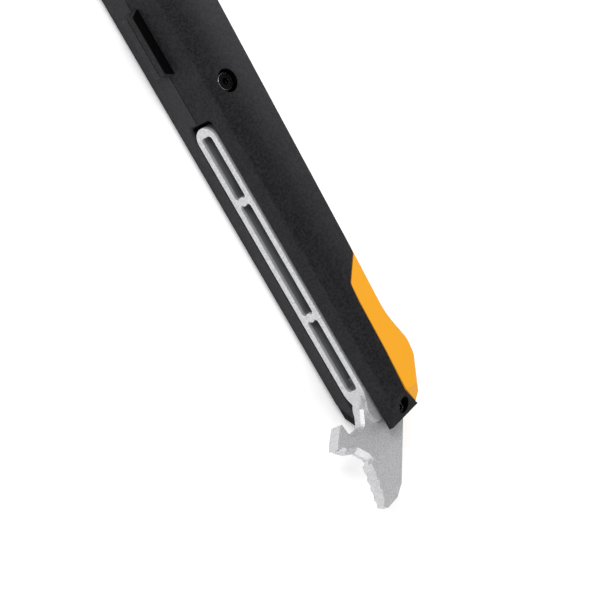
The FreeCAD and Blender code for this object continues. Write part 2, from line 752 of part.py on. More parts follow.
def blade(label, heel, depth):
    """One segmented blade lying across the handle, its edge on the far side."""
    body = new_body(label)
    outline = new_sketch(body, "XZ_Plane", depth)
    add_outline(outline, [
        (heel, "-blade_half"),
        (f"{heel} + blade_length", "-blade_half"),
        (f"{heel} + blade_length - point_run", "blade_half"),
        (heel, "blade_half"),
    ])
    pad(body, outline, "blade_thick")
    hole = new_sketch(body, "XZ_Plane", depth)
    add_circle(hole, f"{heel} + hole_setback", "0", "blade_hole")
    cut(body, hole, both=True)
    score = new_sketch(body, "XZ_Plane", depth)
    last = f"{heel} + blade_length - 7 * segment_pitch"
    add_outline(score, [
        (last, "-blade_half"),
        (f"{last} + score_width", "-blade_half"),
        (f"{last} + score_width - point_run", "blade_half"),
        (f"{last} - point_run", "blade_half"),
    ])
    groove = cut(body, score, "score_depth", 1)
    repeat(body, groove, "X_Axis", "segment_pitch", 7)
    edge = new_sketch(body, "YZ_Plane", heel)
    front = f"(-({depth}))"
    back = f"(-({depth}) - blade_thick)"
    low = "-blade_half"
    add_outline(edge, [(f"{front} - 0.2", f"{low} - 0.1"), (f"{front} + 0.1", f"{low} - 0.1"),
                       (f"{front} + 0.1", f"{low} + 1.9"), (front, f"{low} + 1.9")])
    add_outline(edge, [(f"{back} + 0.2", f"{low} - 0.1"), (back, f"{low} + 1.9"),
                       (f"{back} - 0.1", f"{low} + 1.9"), (f"{back} - 0.1", f"{low} - 0.1")])
    cut(body, edge, "blade_length + 1", 1)
    return body


def spare_blades():
    """Three spares stacked in the handle, as one group of separate solids."""
    made = []
    for step in range(3):
        label = f"spare_{step}"
        made.append(blade(label, "magazine_start", f"magazine_depth + {step} * (blade_thick + blade_clear)"))
        parts.remove(made[-1])
    group = doc.addObject("Part::Compound", "spare_blades")
    group.Label = "spare_blades"
    group.Links = made
    parts.append(group)


def blade_carrier():
    """Slide block inside the channel, with a neck between the lips and a seat for the clamp nut."""
    body = new_body("blade_carrier")
    start = "blade_heel + 0.5"
    plate = new_sketch(body, "XZ_Plane", CARRIER_FRONT)
    add_box(plate, start, "-(blade_half - 0.1)", f"{start} + carrier_length", "blade_half - 0.1", "1.5")
    pad(body, plate, f"carrier_back - {CARRIER_FRONT}")
    neck = new_sketch(body, "XZ_Plane", "carrier_back")
    add_box(neck, f"{start} + 3", "-(lip_half - gap)", f"{start} + carrier_length - 3", "lip_half - gap", "1")
    pad(body, neck, "channel_back - carrier_back - neck_drop")
    seat = new_sketch(body, "XZ_Plane", "channel_back - neck_drop")
    add_box(seat, "stud_x - nut_half", "-nut_half", "stud_x + nut_half", "nut_half")
    cut(body, seat, "nut_thick", -1)
    hole = new_sketch(body, "XZ_Plane", CARRIER_FRONT)
    add_circle(hole, "stud_x", "0", "stud_r + 0.1")
    cut(body, hole, "3", 1)
    peg = new_sketch(body, "XZ_Plane", CARRIER_FRONT)
    add_circle(peg, "blade_heel + hole_setback", "0", "blade_hole - 0.5")
    cut(body, peg, "1.2", 1)
    return body


def blade_peg():
    """Stepped steel peg that the blade hooks on."""
    body = new_body("blade_peg")
    foot = new_sketch(body, "XZ_Plane", "channel_depth + sheet_metal + 0.1")
    add_circle(foot, "blade_heel + hole_setback", "0", "blade_hole - 0.1")
    pad(body, foot, f"{CARRIER_FRONT} - channel_depth - sheet_metal - 0.1")
    stem = new_sketch(body, "XZ_Plane", CARRIER_FRONT)
    add_circle(stem, "blade_heel + hole_setback", "0", "blade_hole - 0.5")
    pad(body, stem, "1.2")
    return body


def clamp_nut():
    """Square nut sunk in the carrier."""
    body = new_body("clamp_nut")
    sketch = new_sketch(body, "XZ_Plane", "channel_back - neck_drop - nut_thick")
    add_box(sketch, "stud_x - nut_half", "-nut_half", "stud_x + nut_half", "nut_half")
    add_circle(sketch, "stud_x", "0", "stud_r + running_fit")
    pad(body, sketch, "nut_thick")
    return body


def slider_plate():
    """Runner in the spine track, with a stem down to the carrier and thumb ridges at both ends."""
    body = new_body("slider_plate")
    stem = new_sketch(body, "XZ_Plane", "channel_back - neck_drop")
    reach = "(runner_length / 2 - 6)"
    add_box(stem, f"stud_x - {reach}", "-stem_half", f"stud_x + {reach}", "stem_half", "1.5")
    pad(body, stem, "track_depth + 0.2 - channel_back + neck_drop")
    runner = new_sketch(body, "XZ_Plane", "track_depth + 0.2")
    half = "runner_length / 2"
    add_box(runner, f"stud_x - {half}", "-(track_half - gap)", f"stud_x + {half}", "track_half - gap", "2")
    pad(body, runner, "runner_rise - track_depth - 0.2")
    ridge = new_sketch(body, "XZ_Plane", "runner_rise")
    add_box(ridge, f"stud_x - {half} + 1", "-(track_half - 1.5)",
            f"stud_x - {half} + 1.8", "track_half - 1.5")
    first = pad(body, ridge, "0.4")
    repeat(body, first, "X_Axis", "1.6", 3)
    front_ridge = new_sketch(body, "XZ_Plane", "runner_rise")
    add_box(front_ridge, f"stud_x + {half} - 5", "-(track_half - 1.5)",
            f"stud_x + {half} - 4.2", "track_half - 1.5")
    second = pad(body, front_ridge, "0.4")
    repeat(body, second, "X_Axis", "1.6", 3)
    hole = new_sketch(body, "XZ_Plane")
    add_circle(hole, "stud_x", "0", "stud_r + 0.1")
    cut(body, hole, both=True)
    return body


def friction_washer():
    """Washer between the runner and the wheel."""
    body = new_body("friction_washer")
    sketch = new_sketch(body, "XZ_Plane", "runner_rise")
    add_circle(sketch, "stud_x", "0", "wheel_r - 3")
    add_circle(sketch, "stud_x", "0", "stud_r + 0.1")
    pad(body, sketch, "washer_thick")
    return body


def lock_wheel():
    """Fluted thumb wheel with a dished top, moulded round the lock stud's head."""
    body = new_body("lock_wheel")
    disc = new_sketch(body, "XZ_Plane", WHEEL_BASE)
    add_circle(disc, "stud_x", "0", "wheel_r")
    pad(body, disc, "wheel_height")
    rims = [number(f"-{WHEEL_BASE}"), number(f"-{WHEEL_BASE} - wheel_height")]
    dress(body, "Fillet", "0.8", lambda edge: any(abs(edge.CenterOfMass.y - rim) < 1e-3 for rim in rims))
    flute = new_sketch(body, "XZ_Plane", WHEEL_BASE)
    for step in range(int(number("flutes"))):
        angle = step * 360 / number("flutes")
        add_circle(flute, f"stud_x + (wheel_r + flute_r * 0.45) * {math.cos(math.radians(angle)):.6f}",
                   f"(wheel_r + flute_r * 0.45) * {math.sin(math.radians(angle)):.6f}", "flute_r")
    cut(body, flute, "wheel_height + 1", 1)
    dish = new_sketch(body, "XZ_Plane", f"{WHEEL_BASE} + wheel_height")
    add_circle(dish, "stud_x", "0", "wheel_r - 2.6")
    cut(body, dish, "1.2", -1)
    hole = new_sketch(body, "XZ_Plane", WHEEL_BASE)
    add_circle(hole, "stud_x", "0", "stud_r")
    cut(body, hole, "wheel_height + 1", 1)
    return body


def lock_stud():
    """Threaded stud moulded in the wheel and turning in the clamp nut."""
    body = new_body("lock_stud")
    sketch = new_sketch(body, "XZ_Plane", f"{CARRIER_FRONT} + 0.2")
    add_circle(sketch, "stud_x", "0", "stud_r")
    pad(body, sketch, f"{WHEEL_BASE} + wheel_height - 1.2 - {CARRIER_FRONT} - 0.2")
    return body


# ---------------------------------------------------------------- fasteners


def screw(label, x_text, depth, seat, head_r, shank_end):
    """Socket screw whose head sits on the counterbore floor of the near shell."""
    body = new_body(label)
    head = new_sketch(body, "XY_Plane", seat)
    add_circle(head, x_text, f"-{depth}", head_r)
    pad(body, head, "head_height")
    rim = number(seat) + number("head_height")
    dress(body, "Fillet", "0.3", lambda edge: abs(edge.CenterOfMass.z - rim) < 1e-3)
    shank = new_sketch(body, "XY_Plane", seat)
    add_circle(shank, x_text, f"-{depth}", "shank_r")
    pad(body, shank, f"{seat} + {shank_end}", -1)
    socket = new_sketch(body, "XY_Plane", f"{seat} + head_height")
    hexagon = []
    for step in range(6):
        across = math.cos(math.radians(60 * step))
        up = math.sin(math.radians(60 * step))
        hexagon.append((f"{x_text} + hex_r * {across:.6f}", f"-{depth} + hex_r * {up:.6f}"))
    add_outline(socket, hexagon)
    cut(body, socket, "1.2", -1)
    return body


def insert(label, x_text, depth, start, outer, length):
    """Brass insert pressed in the far shell."""
    body = new_body(label)
    sketch = new_sketch(body, "XY_Plane", f"-({start})")
    add_circle(sketch, x_text, f"-{depth}", outer)
    add_circle(sketch, x_text, f"-{depth}", "shank_r")
    pad(body, sketch, length, -1)
    return body


def fasteners():
    """Two body screws, the tail screw and the inserts they turn in."""
    screw("upper_screw", "upper_x", "upper_depth", "bore_floor", "head_r", "insert_length - 0.5")
    screw("nose_screw", "nose_x", "nose_depth", "bore_floor", "head_r", "insert_length - 0.5")
    screw("tail_screw", "tail_x", "tail_depth", "tail_bore_floor", "tail_head_r",
          "plate_half + tail_insert_length - 0.3")
    insert("upper_insert", "upper_x", "upper_depth", "0", "insert_r", "insert_length")
    insert("nose_insert", "nose_x", "nose_depth", "0", "insert_r", "insert_length")
    insert("tail_insert", "tail_x", "tail_depth", "plate_half + 0.2", "tail_head_r", "tail_insert_length")


def check_and_export():
    """Refuses a failed object or a bad shape, then writes one file per sub-part."""
    doc.recompute()
    for item in doc.Objects:
        if "Invalid" in item.State or "Error" in item.State:
            raise ValueError(f"{item.Label} failed: {item.State}")
    os.makedirs("parts", exist_ok=True)
    for part in parts:
        if part.Shape.isNull() or not part.Shape.isValid() or part.Shape.Volume <= 0:
            raise ValueError(f"{part.Label} has a bad shape")
    for part in parts:
        part.Shape.exportStep(f"parts/{part.Label}.step")


shell("near_shell", near=True)
shell("far_shell", near=False)
tail_tool()
hatch()
hatch_pin()
hatch_spring()
blade_channel()
blade("blade", "blade_heel", "blade_depth")
spare_blades()
blade_carrier()
blade_peg()
clamp_nut()
slider_plate()
friction_washer()
lock_wheel()
lock_stud()
fasteners()
check_and_export()
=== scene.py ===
"""Studio scene of the snap off knife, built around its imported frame.

Units are metres in the row frame: +X toward the blade, +Y out of the front edge, +Z out of the near side.
Hard pieces keep the frame's shape and get their moulded and cast edge rounding here.
"""

import json
import logging
import math
from dataclasses import dataclass, field
from enum import Enum
from typing import Callable

import bmesh
import bpy
from mathutils import Matrix, Vector

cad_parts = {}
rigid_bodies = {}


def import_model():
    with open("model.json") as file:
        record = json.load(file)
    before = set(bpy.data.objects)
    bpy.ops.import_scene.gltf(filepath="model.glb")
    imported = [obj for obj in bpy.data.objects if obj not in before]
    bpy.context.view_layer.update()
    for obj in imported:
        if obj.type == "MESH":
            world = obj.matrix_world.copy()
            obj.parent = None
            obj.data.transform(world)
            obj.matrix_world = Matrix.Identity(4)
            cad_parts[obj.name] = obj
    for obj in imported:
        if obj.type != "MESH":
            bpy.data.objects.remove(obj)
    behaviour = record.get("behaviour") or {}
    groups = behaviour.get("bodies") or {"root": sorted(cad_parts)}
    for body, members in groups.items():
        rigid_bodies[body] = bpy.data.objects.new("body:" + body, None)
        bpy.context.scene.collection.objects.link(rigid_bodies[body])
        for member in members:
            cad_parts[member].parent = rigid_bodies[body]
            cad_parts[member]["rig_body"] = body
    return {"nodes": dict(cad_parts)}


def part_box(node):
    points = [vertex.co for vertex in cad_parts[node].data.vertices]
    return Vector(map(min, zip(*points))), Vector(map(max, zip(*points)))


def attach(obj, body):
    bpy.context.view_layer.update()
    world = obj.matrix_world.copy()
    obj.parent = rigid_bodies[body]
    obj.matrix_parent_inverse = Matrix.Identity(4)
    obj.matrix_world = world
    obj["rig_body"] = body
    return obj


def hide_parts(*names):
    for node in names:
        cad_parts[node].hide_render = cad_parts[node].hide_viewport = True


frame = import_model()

LOG = logging.getLogger("snap_off_knife")
MM = 0.001
# how close two points are to be one, and how close a point is to a plane to lie in it
WELD = 0.002 * MM
FLUSH = 0.01 * MM
# folds in degrees: below the first a facet is flat, below the second it is shaded smooth
FLAT_FOLD = 0.6
SMOOTH_FOLD = 32.0
PAD_RISE = 3.2 * MM


# ------------------------------------------------------------------ shader expressions


class Sheet:
    """One material's node tree, with a single method that makes any node."""

    def __init__(self, name: str) -> None:
        """Start an empty material.

        Args:
            name: the material's name.
        """
        self.material = bpy.data.materials.new(name + "_finish")
        self.material.use_nodes = True
        self.tree = self.material.node_tree
        self.tree.nodes.clear()

    def node(self, kind: str, settings: dict | None = None, **sockets: object) -> bpy.types.Node:
        """Make a node, set its properties first and then its sockets.

        Args:
            kind: the node's type name.
            settings: properties of the node, or "stops" for a ramp.
            sockets: socket name with underscores for spaces, or _N for input N, to a value or a Wire.

        Returns:
            The new node.
        """
        made = self.tree.nodes.new(kind)
        for key, value in (settings or {}).items():
            if key == "stops":
                self._set_stops(made, value)
            else:
                setattr(made, key, value)
        for key, value in sockets.items():
            name = int(key[1:]) if key[1:].isdigit() else key.replace("_", " ")
            socket = made.inputs[name]
            if isinstance(value, Wire):
                self.tree.links.new(value.socket, socket)
            else:
                socket.default_value = value
        return made

    @staticmethod
    def _set_stops(ramp: bpy.types.Node, stops: list[tuple[float, tuple]]) -> None:
        """Give a colour ramp its stops.

        Args:
            ramp: the ramp node.
            stops: position and colour of each stop.
        """
        elements = ramp.color_ramp.elements
        while len(elements) < len(stops):
            elements.new(1.0)
        for element, (place, colour) in zip(elements, stops):
            element.position = place
            element.color = (*colour, 1.0)

    def wire(self, kind: str, output: str | int = 0, settings: dict | None = None,
             **sockets: object) -> "Wire":
        """Make a node and return one of its outputs as a Wire.

        Args:
            kind: the node's type name.
            output: name or index of the output.
            settings: properties of the node.
            sockets: values and links of its inputs.

        Returns:
            The output, ready for expressions.
        """
        return Wire(self, self.node(kind, settings, **sockets).outputs[output])

    def place(self, scale: tuple[float, float, float] = (1.0, 1.0, 1.0)) -> "Wire":
        """Give the piece's own coordinates in millimetres, stretched per axis.

        Args:
            scale: factor on each axis.

        Returns:
            The coordinates.
        """
        spot = self.wire("ShaderNodeTexCoord", "Object")
        factor = tuple(value / MM for value in scale)
        return self.wire("ShaderNodeVectorMath", 0, {"operation": "MULTIPLY"}, _0=spot, _1=factor)

    def noise(self, place: "Wire", scale: float, detail: float = 3.0, roughness: float = 0.5) -> "Wire":
        """Give fractal noise.

        Args:
            place: coordinates in millimetres.
            scale: features per millimetre.
            detail: octaves.
            roughness: weight of the finer octaves.

        Returns:
            The noise value, about 0 to 1.
        """
        return self.wire("ShaderNodeTexNoise", "Fac", Vector=place, Scale=scale, Detail=detail,
                         Roughness=roughness)

    def ramp(self, value: "Wire", low: float, high: float) -> "Wire":
        """Stretch a value to 0..1 between two limits, smoothly.

        Args:
            value: what is stretched.
            low: where the result is 0.
            high: where the result is 1.

        Returns:
            The stretched value.
        """
        return self.wire("ShaderNodeMapRange", 0, {"interpolation_type": "SMOOTHSTEP"},
                         Value=value, From_Min=low, From_Max=high)

    def split(self, vector: "Wire") -> tuple["Wire", "Wire", "Wire"]:
        """Take a vector apart.

        Args:
            vector: the vector.

        Returns:
            Its X, Y and Z.
        """
        parts = self.node("ShaderNodeSeparateXYZ", Vector=vector).outputs
        return Wire(self, parts[0]), Wire(self, parts[1]), Wire(self, parts[2])

    def blend(self, factor: "Wire", first: object, second: object) -> "Wire":
        """Mix two colours.

        Args:
            factor: share of the second colour.
            first: a colour or Wire.
            second: a colour or Wire.

        Returns:
            The mixed colour.
        """
        pick = [colour if isinstance(colour, Wire) else (*colour, 1.0) for colour in (first, second)]
        return self.wire("ShaderNodeMix", 2, {"data_type": "RGBA"}, _0=factor, _6=pick[0], _7=pick[1])

    def relief(self, height: "Wire", distance: float, strength: float) -> "Wire":
        """Turn a height into a bumped normal.

        Args:
            height: the height, about 0 to 1.
            distance: its full depth in metres.
            strength: share of the effect.

        Returns:
            The normal.
        """
        return self.wire("ShaderNodeBump", Height=height, Distance=distance, Strength=strength)

    def finish(self, colour: object, roughness: object, normal: "Wire | None" = None,
               **constants: object) -> bpy.types.Material:
        """Close the material with a Principled shader.

        Args:
            colour: base colour or Wire.
            roughness: a number or Wire.
            normal: bumped normal, if any.
            constants: other shader sockets, set to plain numbers or colours.

        Returns:
            The finished material.
        """
        base = colour if isinstance(colour, Wire) else (*colour, 1.0)
        extra = {"Normal": normal} if normal else {}
        shader = self.wire("ShaderNodeBsdfPrincipled", Base_Color=base, Roughness=roughness,
                           **extra, **constants)
        self.node("ShaderNodeOutputMaterial", Surface=shader)
        return self.material


@dataclass(frozen=True)
class Wire:
    """An output socket whose arithmetic adds Math nodes."""

    sheet: Sheet
    socket: bpy.types.NodeSocket

    def _math(self, operation: str, first: object, second: object) -> "Wire":
        """Add one Math node.

        Args:
            operation: what it does.
            first: its first value.
            second: its second value.

        Returns:
            The result.
        """
        return self.sheet.wire("ShaderNodeMath", 0, {"operation": operation}, _0=first, _1=second)

    def __add__(self, other: object) -> "Wire":
        """Add."""
        return self._math("ADD", self, other)

    def __radd__(self, other: object) -> "Wire":
        """Add, reflected."""
        return self._math("ADD", other, self)

    def __sub__(self, other: object) -> "Wire":
        """Subtract."""
        return self._math("SUBTRACT", self, other)

    def __rsub__(self, other: object) -> "Wire":
        """Subtract, reflected."""
        return self._math("SUBTRACT", other, self)

    def __mul__(self, other: object) -> "Wire":
        """Multiply."""
        return self._math("MULTIPLY", self, other)

    def __rmul__(self, other: object) -> "Wire":
        """Multiply, reflected."""
        return self._math("MULTIPLY", other, self)


# ------------------------------------------------------------------ finishes


@dataclass(frozen=True)
class MouldedPlastic:
    """Injection moulded plastic with a spark-eroded grain, rubbed a little paler where it is handled."""

    name: str
    colour: tuple[float, float, float]
    # the paler colour, reached in rubbed patches and, on the handle, by painted sheen and painted reflection
    rubbed_and_sheen: tuple[float, float, float]
    roughness: float
    grain: float = 2.6
    grain_depth: float = 0.00004
    grain_strength: float = 0.5
    gloss: float = 0.12
    speckle: float = 0.2

    def build(self) -> bpy.types.Material:
        """Build the finish.

        Returns:
            The material.
        """
        sheet = Sheet(self.name)
        place = sheet.place()
        grain = self.skin(sheet, place)
        mottle = sheet.noise(place, scale=0.09, detail=3.0, roughness=0.55)
        handled = sheet.ramp(sheet.noise(place, scale=0.35, detail=4.0, roughness=0.6), 0.5, 0.8)
        # share of the paler colour: mottle, grain and rubbed patches, plus the painted light that flank adds
        shade = mottle * 0.10 + grain * self.speckle + handled * 0.10 + self.flank(sheet, place)
        colour = sheet.blend(shade, self.colour, self.rubbed_and_sheen)
        roughness = self.roughness + 0.08 * (mottle - 0.5) - 0.025 * handled + 0.10 * (grain - 0.5)
        normal = sheet.relief(grain, self.grain_depth, self.grain_strength)
        return sheet.finish(colour, roughness, normal, Specular_IOR_Level=self.gloss)

    def skin(self, sheet: Sheet, place: Wire) -> Wire:
        """Give the height of the grain: rounded cells broken up by finer noise.

        Args:
            sheet: the material.
            place: coordinates in millimetres.

        Returns:
            The height, about 0 to 1.
        """
        cells = sheet.wire("ShaderNodeTexVoronoi", "Distance", {"feature": "SMOOTH_F1"},
                           Vector=place, Scale=self.grain, Smoothness=0.6)
        finer = sheet.noise(place, scale=2.5 * self.grain, detail=2.0, roughness=0.6)
        return 0.6 * sheet.ramp(cells, 0.1, 0.75) + 0.4 * finer

    def flank(self, sheet: Sheet, place: Wire) -> object:
        """Give any light or shade painted into the colour from one part of the piece to another, none on a
        plain piece.

        Args:
            sheet: the material.
            place: coordinates in millimetres.

        Returns:
            What is added to the share of the paler colour.
        """
        return 0.0


@dataclass(frozen=True)
class ShellPlastic(MouldedPlastic):
    """The handle's plastic, in millimetres, with light painted into its colour: a painted sheen on the
    flanks, a painted reflection on the roof, and painted shade on the pad walls and in the bores.

    A bore is its X, its Y and its radius.
    """

    width: float = 25.5
    parting: float = 12.75
    skin_depth: float = 0.35
    # painted sheen on the side faces: where it fades across Y, its strength, and where it grows along X
    flank_limits: tuple[float, float] = (-9.0, 8.0)
    flank_sheen_tone: float = 0.66
    sheen_limits: tuple[float, float] = (-70.0, 60.0)
    # painted reflection on the roof: where it starts in Y, and its strength, more on the far half
    roof_limits: tuple[float, float] = (8.6, 9.6)
    roof_reflection_tone: float = 0.10
    far_roof_reflection_tone: float = 0.20
    # painted shade on the pad's near wall: its X limits, its foot in Y, its Z and the strength of the shade
    pad_limits: tuple[float, float] = (24.3, 46.0)
    pad_foot: tuple[float, float] = (10.2, 10.45)
    pad_side: float = 15.35
    pad_shade_tone: float = 0.9
    # counterbores darkened with painted shade
    bores: tuple[tuple[float, float, float], ...] = ((15.0, 2.8, 3.65), (82.5, 2.5, 3.65), (-93.5, 4.3, 2.2))

    def flank(self, sheet: Sheet, place: Wire) -> Wire:
        """Paint light into the colour: a painted sheen on the side faces, lighter toward the spine and the
        nose, a painted reflection on the roof, and painted shade on the pad's walls and in the counterbores.

        Args:
            sheet: the material.
            place: coordinates in millimetres.

        Returns:
            What is added to the share of the paler colour: more for painted sheen and reflection, less for
            painted shade.
        """
        along, depth, width = sheet.split(place)
        near = sheet.ramp(width, self.width - self.skin_depth, self.width - 0.1)
        far = 1.0 - sheet.ramp(width, 0.1, self.skin_depth)
        # painted sheen: side faces lighter toward the spine and toward the nose
        across = 1.0 - sheet.ramp(depth, *self.flank_limits)
        sheen_toward_nose = 0.5 + 0.5 * sheet.ramp(along, *self.sheen_limits)
        # painted reflection: the roof lighter, more on the far shell's half
        on_far_roof = 1.0 - sheet.ramp(width, self.parting - 0.6, self.parting + 0.6)
        roof = sheet.ramp(depth, *self.roof_limits) * (self.roof_reflection_tone + self.far_roof_reflection_tone * on_far_roof)
        # painted shade: the pad's near wall and the counterbores darker
        wall = self._pad_wall(sheet, along, depth, width)
        bores = sum((self._bore(along, depth, bore) for bore in self.bores), 0.0) * (1.0 - near)
        return (near + far) * (across * sheen_toward_nose * self.flank_sheen_tone) + roof - wall * self.pad_shade_tone - bores

    def _pad_wall(self, sheet: Sheet, along: Wire, depth: Wire, width: Wire) -> Wire:
        """Mask the near wall of the raised pad, which gets painted shade.

        Args:
            sheet: the material.
            along: X in millimetres.
            depth: Y in millimetres.
            width: Z in millimetres.

        Returns:
            1 on the wall and 0 elsewhere.
        """
        tail, nose = self.pad_limits
        past_tail = sheet.ramp(along, tail - 0.1, tail + 0.1)
        before_nose = 1.0 - sheet.ramp(along, nose - 0.1, nose + 0.1)
        beside = sheet.ramp(width, self.pad_side - 0.25, self.pad_side - 0.05)
        return past_tail * before_nose * sheet.ramp(depth, *self.pad_foot) * beside

    @staticmethod
    def _bore(along: Wire, depth: Wire, bore: tuple[float, float, float]) -> Wire:
        """Mask one counterbore, which gets painted shade.

        Args:
            along: X in millimetres.
            depth: Y in millimetres.
            bore: its X, its Y and its radius.

        Returns:
            1 inside and 0 outside.
        """
        across, down = along - bore[0], depth - bore[1]
        rim = (bore[2] + 0.1) ** 2
        return 1.0 - along.sheet.ramp(across * across + down * down, rim, rim * 1.05)


@dataclass(frozen=True)
class CastMetal:
    """Die-cast metal with a fine sandy skin, darker in the windows, deeper than the rails.

    A window's limits are where it starts along X and the Y that it stays under, in millimetres.
    """

    name: str
    colour: tuple[float, float, float]
    dull: tuple[float, float, float]
    roughness: float = 0.58
    window_colour: tuple[float, float, float] = (0.15, 0.15, 0.155)
    window_tail: float = -83.6
    window_front: float = 9.3
    window_tone: float = 0.93

    def build(self) -> bpy.types.Material:
        """Build the finish.

        Returns:
            The material.
        """
        sheet = Sheet(self.name)
        place = sheet.place()
        sand = sheet.noise(place, scale=2.2, detail=4.0, roughness=0.7)
        cloud = sheet.noise(place, scale=0.5, detail=3.0, roughness=0.5)
        edge = sheet.ramp(sheet.wire("ShaderNodeNewGeometry", "Pointiness"), 0.44, 0.54)
        shade = sheet.ramp(sand, 0.35, 0.65) * 0.55 + cloud * 0.2 + edge * 0.35
        finished = sheet.blend(shade, self.dull, self.colour)
        colour = sheet.blend(self._windows(sheet, place) * self.window_tone, finished, self.window_colour)
        roughness = self.roughness + 0.16 * (sand - 0.5) - 0.08 * (edge - 0.5)
        normal = sheet.relief(sand, 0.00009, 0.6)
        return sheet.finish(colour, roughness, normal, Metallic=0.6)

    def _windows(self, sheet: Sheet, place: Wire) -> Wire:
        """Mask what lies deeper than the rails, on the nose side of the head.

        Args:
            sheet: the material.
            place: coordinates in millimetres.

        Returns:
            1 inside the windows and 0 elsewhere.
        """
        along, depth, _ = sheet.split(place)
        past_head = sheet.ramp(along, self.window_tail, self.window_tail + 1.0)
        return past_head * (1.0 - sheet.ramp(depth, self.window_front - 0.5, self.window_front + 0.3))


@dataclass(frozen=True)
class GroundSteel:
    """Steel with fine grinding lines along or across one axis."""

    name: str
    colour: tuple[float, float, float]
    roughness: float
    lines: tuple[float, float, float] = (0.06, 1.0, 3.0)
    depth: float = 0.000008

    def build(self) -> bpy.types.Material:
        """Build the finish.

        Returns:
            The material.
        """
        sheet = Sheet(self.name)
        scratches = sheet.noise(sheet.place(self.lines), scale=6.0, detail=4.0, roughness=0.6)
        stain = sheet.noise(sheet.place(), scale=0.2, detail=3.0, roughness=0.5)
        darker = tuple(value * 0.72 for value in self.colour)
        colour = sheet.blend(sheet.ramp(scratches, 0.3, 0.7) * 0.6 + stain * 0.4, darker, self.colour)
        roughness = self.roughness + 0.18 * (scratches - 0.5) + 0.1 * (stain - 0.5)
        normal = sheet.relief(scratches, self.depth, 0.5)
        return sheet.finish(colour, roughness, normal, Metallic=1.0)


@dataclass(frozen=True)
class OxideSteel:
    """Blackened steel with a painted highlight on the head's slanted rim, partly rubbed bright in patches.
    """

    name: str
    colour: tuple[float, float, float] = (0.004, 0.004, 0.0045)
    # colour of the painted highlight on the rim and its rubbed patches
    bright: tuple[float, float, float] = (0.75, 0.75, 0.77)
    roughness: float = 0.36

    def build(self) -> bpy.types.Material:
        """Build the finish.

        Returns:
            The material.
        """
        sheet = Sheet(self.name)
        cloud = sheet.noise(sheet.place(), scale=1.5, detail=4.0, roughness=0.6)
        upward = sheet.split(sheet.wire("ShaderNodeNewGeometry", "True Normal"))[2]
        # painted highlight: faces of the head's rim that slant between flat and upright turn bright, in
        # patches
        slanted = sheet.ramp(upward, 0.15, 0.35) * (1.0 - sheet.ramp(upward, 0.85, 0.95))
        rim_highlight_and_rubbing = slanted * (0.45 + 0.55 * sheet.ramp(cloud, 0.35, 0.6))
        colour = sheet.blend(rim_highlight_and_rubbing, self.colour, self.bright)
        roughness = self.roughness + 0.2 * (cloud - 0.5)
        return sheet.finish(colour, roughness, sheet.relief(cloud, 0.00002, 0.4), Metallic=0.9)


class Finish(Enum):
    """The finishes of this knife's pieces."""

    BLACK_SHELL = ShellPlastic("black_shell", (0.0012, 0.0011, 0.0013), (0.045, 0.043, 0.047), 0.50,
                               grain=1.3, grain_depth=0.00009, grain_strength=0.55, gloss=0.07, speckle=0.32)
    SHELL_EDGE = MouldedPlastic("shell_edge", (0.020, 0.020, 0.021), (0.10, 0.097, 0.102), 0.42)
    AMBER = MouldedPlastic("amber_hatch", (0.80, 0.335, 0.006), (0.86, 0.40, 0.02), 0.47,
                           grain=4.0, grain_depth=0.00002, grain_strength=0.35, gloss=0.35)
    SLIDER = MouldedPlastic("black_slider", (0.008, 0.008, 0.009), (0.03, 0.03, 0.031), 0.40, grain=4.0)
    GRIP = MouldedPlastic("grip_black", (0.006, 0.006, 0.0065), (0.02, 0.02, 0.021), 0.66, grain=3.5)
    CAST = CastMetal("cast_metal", (0.62, 0.62, 0.63), (0.28, 0.28, 0.29))
    BLADE = GroundSteel("blade_steel", (0.40, 0.405, 0.42), 0.36, lines=(1.0, 1.0, 0.05))
    SHEET_STEEL = GroundSteel("sheet_steel", (0.34, 0.34, 0.35), 0.42)
    PIN = GroundSteel("pin_steel", (0.66, 0.66, 0.68), 0.28, lines=(1.0, 1.0, 0.2))
    DARK_SCREW = OxideSteel("dark_screw")
    BRASS = GroundSteel("brass", (0.75, 0.55, 0.24), 0.3, lines=(1.0, 1.0, 0.3))

    def material(self) -> bpy.types.Material:
        """Return this finish's material, made once."""
        return bpy.data.materials.get(self.value.name + "_finish") or self.value.build()


# ------------------------------------------------------------------ pieces


def dress(piece: bpy.types.Object, finish: Finish, edge: Finish | None = None) -> None:
    """Give a piece its finish, and its edge finish in a second material slot.

    Args:
        piece: the mesh piece.
        finish: its finish.
        edge: finish of the rounded edges, if they are rubbed.
    """
    slots = piece.data.materials
    while len(slots) < 2:
        slots.append(None)
    slots[0] = finish.material()
    slots[1] = (edge or finish).material()


def ridge_y() -> float:
    """Return the place of the handle's front ridge, under the pad."""
    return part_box("near_shell")[1].y - PAD_RISE


def parting_z() -> float:
    """Return the height of the parting plane between the shells."""
    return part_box("near_shell")[0].z


